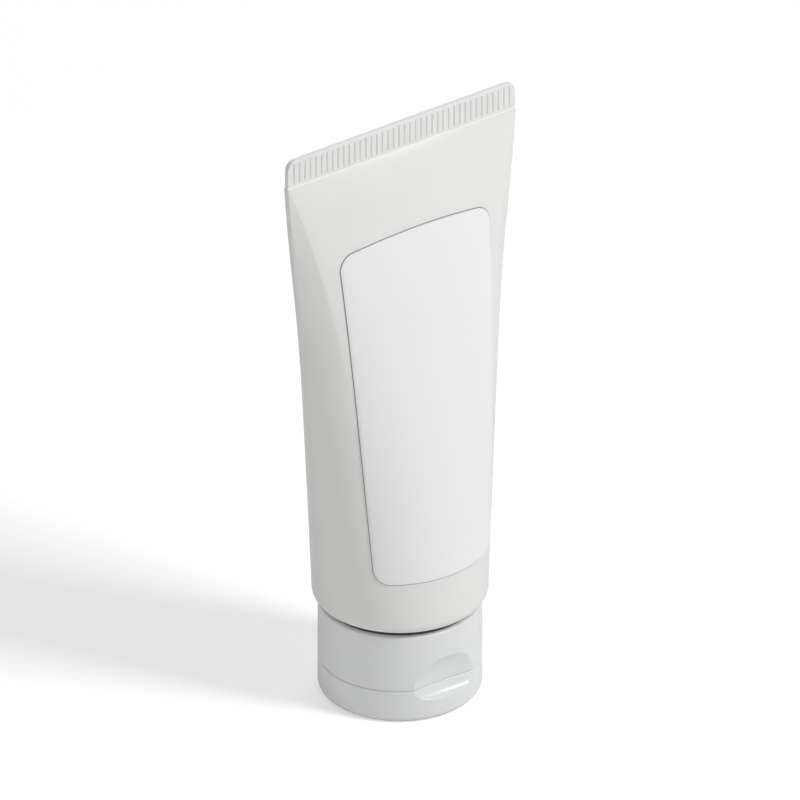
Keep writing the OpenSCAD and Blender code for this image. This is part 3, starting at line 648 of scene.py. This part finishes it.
cap = {
    "radius": 18.6 * mm, "wall": 1.5 * mm, "height": 22.2 * mm, "lidHeight": 8 * mm, "deck": 1.4 * mm,
    "lidFloor": 1.4 * mm, "lidEdge": 1.75 * mm, "edge": 0.2 * mm, "rimEdge": 0.35 * mm,
    "partingGap": 0.3 * mm, "partingDeep": 0.3 * mm,
    "scoopDeep": 2.34 * mm, "scoopUp": 7.7 * mm, "scoopDown": 3 * mm, "scoopHalfWide": 8.15 * mm,
    "scoopDish": 0.44 * mm, "scoopSoft": 0.22 * mm,
    "flatY": 17.0 * mm, "flatHalfWide": 6.5 * mm, "flatSoft": 0.12 * mm,
    "fineRow": 0.16 * mm, "coarseRow": 1.2 * mm, "cornerSteps": 5, "edgeSteps": 14,
    "pastScoop": 1 * mm,     # fine rows go on this far above the scoop, and this far below it
    "pastScoopLow": 0.4 * mm,
    "insideRow": 3 * mm,     # deck and lid floor have their next row this far in, clear of the scoop's wall
    "footRow": 4 * mm,       # the lid's flat face has its last row this far in
    "floorRound": 0.4 * mm, "sharpFrom": 32,
}
# degrees between the columns of the cap: at the scoop, at the ends of the hinge's flat, and elsewhere
capColumns = {"scoop": 0.55, "scoopEnd": 31, "flat": 0.4, "flatStart": 148, "flatEnd": 164, "plain": 2.0}
spout = {"bore": 2 * mm, "radius": 3.7 * mm, "height": 4 * mm, "flare": 0.39 * mm, "edge": 0.25 * mm}
socket = {"inner": 8.08 * mm, "wall": 1.5 * mm, "topZ": 19.5 * mm, "beadZ": 12.6 * mm, "bead": 0.4 * mm}
seal = {"pin": 1.95 * mm, "pinTopZ": 6.2 * mm, "pinEdge": 0.5 * mm, "ringInner": 3.75 * mm,
        "ringWall": 0.8 * mm, "ringTopZ": 6 * mm}
# root is how far the arcs reach up into the deck
collar = {"inner": 15.95 * mm, "wide": 1 * mm, "deep": 1.2 * mm, "root": 0.3 * mm, "edge": 0.15 * mm,
          "frontOpen": 9.65 * mm, "backOpen": 8 * mm, "rowInside": 1 * mm, "steps": 90, "edgeSteps": 3,
          "sharpFrom": 35}


def roundedProfile(corners, steps):
    # corners are (radius, height, rounding, row spacing to the next corner)
    points = []
    for i, (r, z, rounding, spacing) in enumerate(corners):
        here = Vector((r, z))
        if rounding:
            before = (Vector(corners[i - 1][:2]) - here).normalized()
            after = (Vector(corners[(i + 1) % len(corners)][:2]) - here).normalized()
            half = before.angle(after) / 2
            reach = rounding / math.tan(half)
            centre = here + (before + after).normalized() * rounding / math.sin(half)
            start, stop = here + before * reach - centre, here + after * reach - centre
            for k in range(steps + 1):
                spoke = start.lerp(stop, k / steps).normalized() * rounding
                points.append((centre + spoke, spacing if k == steps else None))
        else:
            points.append((here, spacing))
    rows = []
    for i, (point, spacing) in enumerate(points):
        rows.append(point)
        following = points[(i + 1) % len(points)][0]
        if spacing:
            parts = math.ceil((following - point).length / spacing)
            rows += [point.lerp(following, k / parts) for k in range(1, parts)]
    return rows


def latheMesh(rows, turns, closed):
    # turns a profile round Z; "inset" keeps how far each point lies inside the cap's outline
    vertices, faces, insets, n = [], [], [], len(turns)
    for row in rows:
        for turn in turns:
            vertices.append((row.x * math.sin(turn), -row.x * math.cos(turn), row.y))
            insets.append(max(0.0, min(cap["wall"], cap["radius"] - row.x)))
    for i in range(len(rows) if closed else len(rows) - 1):
        below, above = i * n, (i + 1) % len(rows) * n
        for j in range(n):
            k = (j + 1) % n
            faces.append((below + j, below + k, above + k, above + j))
    mesh = bpy.data.meshes.new("lathe")
    mesh.from_pydata(vertices, [], faces)
    mesh.attributes.new("inset", "FLOAT", "POINT").data.foreach_set("value", insets)
    faceOutwards(mesh, mergeWithin=0.001 * mm)
    return mesh


def scoopTree(values):
    # presses the thumb scoop into the front of a turned piece, and a flat into its back
    tree, given = newFormTree("thumbScoopForm", values, shapesMesh=True)
    mathKind = "ShaderNodeMath"
    here = addNode(tree, "ShaderNodeSeparateXYZ", {}, [addNode(tree, "GeometryNodeInputPosition")])
    inset = addNode(tree, "GeometryNodeInputNamedAttribute", {"data_type": "FLOAT"}, {"Name": "inset"})
    # the scoop is part of a barrel that lies along X and is a little fuller at its middle
    arcDepth = thirdSide(tree, given["Arc Radius"], here.outputs["X"])
    fullness = addNode(tree, mathKind, "SUBTRACT", [arcDepth, given["Arc Radius"]])
    barrelFull = addNode(tree, mathKind, "ADD", [given["Scoop Radius"], fullness])
    barrel = addNode(tree, mathKind, "ADD", [barrelFull, inset])
    zOff = addNode(tree, mathKind, "SUBTRACT", [here.outputs["Z"], given["Parting Z"]])
    depth = thirdSide(tree, barrel, zOff)
    axisY = addNode(tree, mathKind, "SUBTRACT", [given["Scoop Wall Y"], given["Scoop Radius"]])
    scoopY = addNode(tree, mathKind, "ADD", [axisY, depth])
    scooped = addNode(tree, mathKind, "SMOOTH_MAX", [here.outputs["Y"], scoopY, given["Softness"]])
    # the flat that the hinge film lies on
    flatY = addNode(tree, mathKind, "SUBTRACT", [given["Flat Y"], inset])
    flattened = addNode(tree, mathKind, "MINIMUM", [scooped, flatY])
    flatHalf = addNode(tree, mathKind, "ADD", [given["Flat Half Width"], inset])
    xAway = addNode(tree, mathKind, "ABSOLUTE", [here.outputs["X"]])
    pastFlat = addNode(tree, mathKind, "SUBTRACT", [xAway, flatHalf])
    softLess = addNode(tree, mathKind, "MULTIPLY", [given["Flat Softness"], -1.0])
    flatShare = addNode(tree, "ShaderNodeMapRange", {"interpolation_type": "SMOOTHSTEP"}, {
        "Value": pastFlat, "From Min": softLess, "From Max": given["Flat Softness"],
        "To Min": 1.0, "To Max": 0.0})
    flatMove = addNode(tree, mathKind, "SUBTRACT", [flattened, scooped])
    y = addNode(tree, mathKind, "MULTIPLY_ADD", [flatMove, flatShare, scooped])
    point = addNode(tree, "ShaderNodeCombineXYZ", {}, [here.outputs["X"], y, here.outputs["Z"]])
    endFormTree(tree, given, given["Geometry"], point)
    return tree


def capTurns():
    # half the way round from the scoop to the hinge, and the same mirrored
    marks, turn = [], 0.0
    while turn < 180.0:
        marks.append(turn)
        if turn < capColumns["scoopEnd"]:
            turn += capColumns["scoop"]
        elif capColumns["flatStart"] < turn < capColumns["flatEnd"]:
            turn += capColumns["flat"]
        else:
            turn += capColumns["plain"]
    turns = marks + [180.0] + [360 - m for m in reversed(marks[1:])]
    return [math.radians(t) for t in turns]


fine, coarse = cap["fineRow"], cap["coarseRow"]
partingZ, deckZ = cap["lidHeight"], cap["lidHeight"] + cap["deck"]
grooveR = cap["radius"] - cap["partingDeep"]
grooveZ = partingZ + cap["partingGap"]
innerR = cap["radius"] - cap["wall"]
socketOuter = socket["inner"] + socket["wall"]
spoutZ = partingZ - spout["height"]
scoopEndZ = partingZ + cap["scoopUp"] + cap["pastScoop"]
scoopLowZ = partingZ - cap["scoopDown"] - cap["pastScoopLow"]
insideR = innerR - cap["insideRow"]
ringOuter = seal["ringInner"] + seal["ringWall"]
capBaseRows = roundedProfile([
    (grooveR, partingZ, 0, None), (grooveR, grooveZ, 0, None), (cap["radius"], grooveZ, cap["edge"], fine),
    (cap["radius"], scoopEndZ, 0, coarse), (cap["radius"], cap["height"], cap["rimEdge"], None),
    (innerR, cap["height"], cap["edge"], coarse), (innerR, deckZ, 0, None), (insideR, deckZ, 0, None),
    (socketOuter, deckZ, 0, None), (socketOuter, socket["topZ"], cap["edge"], None),
    (socket["inner"] + socket["wall"] / 2, socket["topZ"], 0, None),
    (socket["inner"], socket["topZ"] - socket["wall"] / 2, 0, None),
    (socket["inner"], socket["beadZ"] + socket["bead"], 0, None),
    (socket["inner"] + socket["bead"], socket["beadZ"], 0, None),
    (socket["inner"], socket["beadZ"] - socket["bead"], 0, None), (socket["inner"], deckZ, 0, None),
    (spout["bore"], deckZ, cap["edge"], None), (spout["bore"], spoutZ, cap["edge"], None),
    (spout["radius"], spoutZ, spout["edge"], None), (spout["radius"], partingZ, spout["flare"], None),
    (collar["inner"] - collar["rowInside"], partingZ, 0, None),
], cap["cornerSteps"])
capLidRows = roundedProfile([
    (0, 0, 0, None), (cap["radius"] - cap["footRow"], 0, 0, None),
    (cap["radius"], 0, cap["lidEdge"], coarse), (cap["radius"], scoopLowZ, 0, fine / 2),
    (cap["radius"], partingZ, cap["edge"], None), (innerR, partingZ, cap["edge"], fine * 2),
    (innerR, cap["lidFloor"], cap["floorRound"], None), (insideR, cap["lidFloor"], 0, None),
    (ringOuter, cap["lidFloor"], cap["edge"], None), (ringOuter, seal["ringTopZ"], cap["edge"], None),
    (seal["ringInner"], seal["ringTopZ"], cap["edge"], None), (seal["ringInner"], cap["lidFloor"], 0, None),
    (seal["pin"], cap["lidFloor"], cap["edge"], None), (seal["pin"], seal["pinTopZ"], seal["pinEdge"], None),
    (0, seal["pinTopZ"], 0, None),
], cap["edgeSteps"])


def arcRadius(half, rise):
    # the radius of an arc from half its chord and its rise
    return (half ** 2 + rise ** 2) / (2 * rise)


scoopValues = {
    "Parting Z": partingZ, "Scoop Wall Y": cap["scoopDeep"] - cap["radius"],
    "Arc Radius": arcRadius(cap["scoopHalfWide"], cap["scoopDish"]), "Softness": cap["scoopSoft"],
    "Flat Y": cap["flatY"], "Flat Half Width": cap["flatHalfWide"], "Flat Softness": cap["flatSoft"],
    "Scoop Radius": arcRadius(cap["scoopUp"], cap["scoopDeep"]), "Material": capPlastic,
}
# the scoop goes further up from the parting line than down, so the lid has its own radius
lidValues = {**scoopValues, "Scoop Radius": arcRadius(cap["scoopDown"], cap["scoopDeep"])}
scoopForm = scoopTree(scoopValues)
turns = capTurns()
capBasePiece = growPiece("capSkirtAndSpout", scoopForm, scoopValues, latheMesh(capBaseRows, turns, True))
capLidPiece = growPiece("flipLid", scoopForm, lidValues, latheMesh(capLidRows, turns, False))
for piece in (capBasePiece, capLidPiece):
    shadeSmooth(piece, cap["sharpFrom"])


def buildCollar():
    # two low arcs under the deck that centre the lid, open at the scoop and at the hinge
    outer, low, high = collar["inner"] + collar["wide"], partingZ - collar["deep"], partingZ + collar["root"]
    section = roundedProfile([(collar["inner"], high, 0, None), (collar["inner"], low, collar["edge"], None),
                              (outer, low, collar["edge"], None), (outer, high, 0, None)],
                             collar["edgeSteps"])
    first = math.asin(collar["frontOpen"] / collar["inner"])
    last = math.pi - math.asin(collar["backOpen"] / collar["inner"])
    vertices, faces, n = [], [], len(section)
    for side in (1, -1):
        base = len(vertices)
        for k in range(collar["steps"] + 1):
            turn = side * (first + (last - first) * k / collar["steps"])
            vertices += [(p.x * math.sin(turn), -p.x * math.cos(turn), p.y) for p in section]
        for k in range(collar["steps"]):
            for i in range(n):
                a, b = base + k * n + i, base + k * n + (i + 1) % n
                faces.append((a, b, b + n, a + n))
        faces.append(tuple(range(base, base + n)))
        faces.append(tuple(range(base + collar["steps"] * n, base + (collar["steps"] + 1) * n)))
    piece = newPiece("lidCollar", vertices, faces, [capPlastic])
    faceOutwards(piece.data)
    return piece


collarPiece = buildCollar()
shadeSmooth(collarPiece, collar["sharpFrom"])


print("hinge film")

film = {"halfWide": 5.5 * mm, "flatY": cap["flatY"], "partingZ": partingZ, "bow": 0.5 * mm,
        "thick": 0.35 * mm, "turnSteps": 24, "wideSteps": 22, "sharpFrom": 35}


def buildFilm():
    # a bowed strip that reaches from the base's flat round to the lid's
    outer, inner = film["bow"] + film["thick"] / 2, film["bow"] - film["thick"] / 2
    section = [(outer, math.pi * (i / film["turnSteps"] - 0.5)) for i in range(film["turnSteps"] + 1)]
    section += [(inner, math.pi * (0.5 - i / film["turnSteps"])) for i in range(film["turnSteps"] + 1)]
    vertices, faces, n = [], [], len(section)
    for k in range(film["wideSteps"] + 1):
        x = film["halfWide"] * (2 * k / film["wideSteps"] - 1)
        vertices += [(x, film["flatY"] + r * math.cos(turn), film["partingZ"] + r * math.sin(turn))
                     for r, turn in section]
    for k in range(film["wideSteps"]):
        for i in range(n):
            a, b = k * n + i, k * n + (i + 1) % n
            faces.append((a, a + n, b + n, b))
    faces.append(tuple(range(n)))
    faces.append(tuple(reversed(range(film["wideSteps"] * n, (film["wideSteps"] + 1) * n))))
    piece = newPiece("hingeFilm", vertices, faces, [capPlastic])
    faceOutwards(piece.data, cutEnds=True)
    return piece


filmPiece = buildFilm()
shadeSmooth(filmPiece, film["sharpFrom"])


for piece, body, nodeName, slotName in (
    (sleevePiece, "tube", "tube_sleeve", "sleeve_plastic"),
    (crimpPiece, "tube", "tube_sleeve", "sleeve_plastic"),
    (labelPiece, "tube", "label", "label_film"),
    (capBasePiece, "tube", "cap_base", "cap_plastic"),
    (collarPiece, "tube", "cap_base", "cap_plastic"),
    (capLidPiece, "lid", "cap_lid", "cap_plastic"),
):
    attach(piece, body)
    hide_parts(nodeName)
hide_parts("hinge_film")
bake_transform(filmPiece)


print("camera and light")

# a parallel view from the front left, looking down at 30 degrees
shot = {"turn": -36.0, "tilt": 30.0, "aim": (0, 0, 73.5 * mm), "away": 1.2, "frame": 180.4 * mm,
        "near": 0.05, "far": 20}


def placeFacing(name, data, place):
    # faces the tube; turn is 0 straight in front and grows to the right, tilt is the angle above level
    turn, tilt = math.radians(place["turn"]), math.radians(place["tilt"])
    outwards = Vector((math.sin(turn) * math.cos(tilt), -math.cos(turn) * math.cos(tilt), math.sin(tilt)))
    placed = placeObject(name, data)
    placed.location = Vector(shot["aim"]) + outwards * place["away"]
    placed.rotation_euler = (-outwards).to_track_quat("-Z", "Y").to_euler()
    return placed


cameraData = bpy.data.cameras.new("camera")
cameraData.type = "ORTHO"
cameraData.ortho_scale = shot["frame"]
cameraData.clip_start, cameraData.clip_end = shot["near"], shot["far"]
bpy.context.scene.camera = placeFacing("camera", cameraData, shot)

lamps = {
    "keyLamp": {"turn": 32, "tilt": 42, "away": 1.1, "size": 0.25, "power": 6.2},
    "fillLamp": {"turn": -80, "tilt": 30, "away": 1.2, "size": 0.7, "power": 1.4},
    "backLamp": {"turn": 150, "tilt": 38, "away": 1.2, "size": 1.2, "power": 3.2},
}
for lampName, lamp in lamps.items():
    data = bpy.data.lights.new(lampName, "AREA")
    data.shape = "SQUARE"
    data.size = lamp["size"]
    data.energy = lamp["power"]
    placeFacing(lampName, data, lamp)

# a room that lights softly and is seen as plain white
studioRoom = {"light": 0.32, "seen": 1.0}
white = hexColor("#ffffff")
world = bpy.data.worlds.new("studioRoom")
bpy.context.scene.world = world
sky = clearedTree(world)
roomLight = addNode(sky, "ShaderNodeBackground", {}, {"Color": white, "Strength": studioRoom["light"]})
seenWhite = addNode(sky, "ShaderNodeBackground", {}, {"Color": white, "Strength": studioRoom["seen"]})
rays = addNode(sky, "ShaderNodeLightPath")
roomMix = addNode(sky, "ShaderNodeMixShader", {}, [rays.outputs["Is Camera Ray"], roomLight, seenWhite])
addNode(sky, "ShaderNodeOutputWorld", {}, {"Surface": roomMix})

# the floor keeps the shadow near the tube and runs out into plain white further off
studioFloor = {"half": 3.0, "colour": "#f4f4f4", "glow": 0.34, "whiteFrom": 130 * mm, "whiteTo": 360 * mm}
half = studioFloor["half"]
floor = newPiece("floor", [(-half, -half, 0), (half, -half, 0), (half, half, 0), (-half, half, 0)],
                 [(0, 1, 2, 3)], [])
floorMaterial = bpy.data.materials.new("paleStudioFloor")
floorTree = clearedTree(floorMaterial)
floorMatt = addNode(floorTree, "ShaderNodeBsdfDiffuse", {}, {"Color": hexColor(studioFloor["colour"])})
floorGlow = addNode(floorTree, "ShaderNodeEmission", {}, {"Color": white, "Strength": studioFloor["glow"]})
floorNear = addNode(floorTree, "ShaderNodeAddShader", {}, [floorMatt, floorGlow])
floorWhite = addNode(floorTree, "ShaderNodeEmission", {}, {"Color": white, "Strength": studioRoom["seen"]})
floorPlace = addNode(floorTree, "ShaderNodeTexCoord")
floorAway = addNode(floorTree, "ShaderNodeVectorMath", "LENGTH", [floorPlace.outputs["Object"]])
floorFade = addNode(floorTree, "ShaderNodeMapRange", {"interpolation_type": "SMOOTHSTEP"}, {
    "Value": floorAway.outputs["Value"],
    "From Min": studioFloor["whiteFrom"], "From Max": studioFloor["whiteTo"]})
floorSeen = addNode(floorTree, "ShaderNodeMixShader", {}, [floorFade, floorNear, floorWhite])
floorRays = addNode(floorTree, "ShaderNodeLightPath")
floorWhole = addNode(floorTree, "ShaderNodeMixShader", {}, [
    floorRays.outputs["Is Camera Ray"], floorMatt, floorSeen])
addNode(floorTree, "ShaderNodeOutputMaterial", {}, {"Surface": floorWhole})
floor.data.materials.append(floorMaterial)

bpy.context.scene.view_settings.view_transform = "Standard"

print("done")
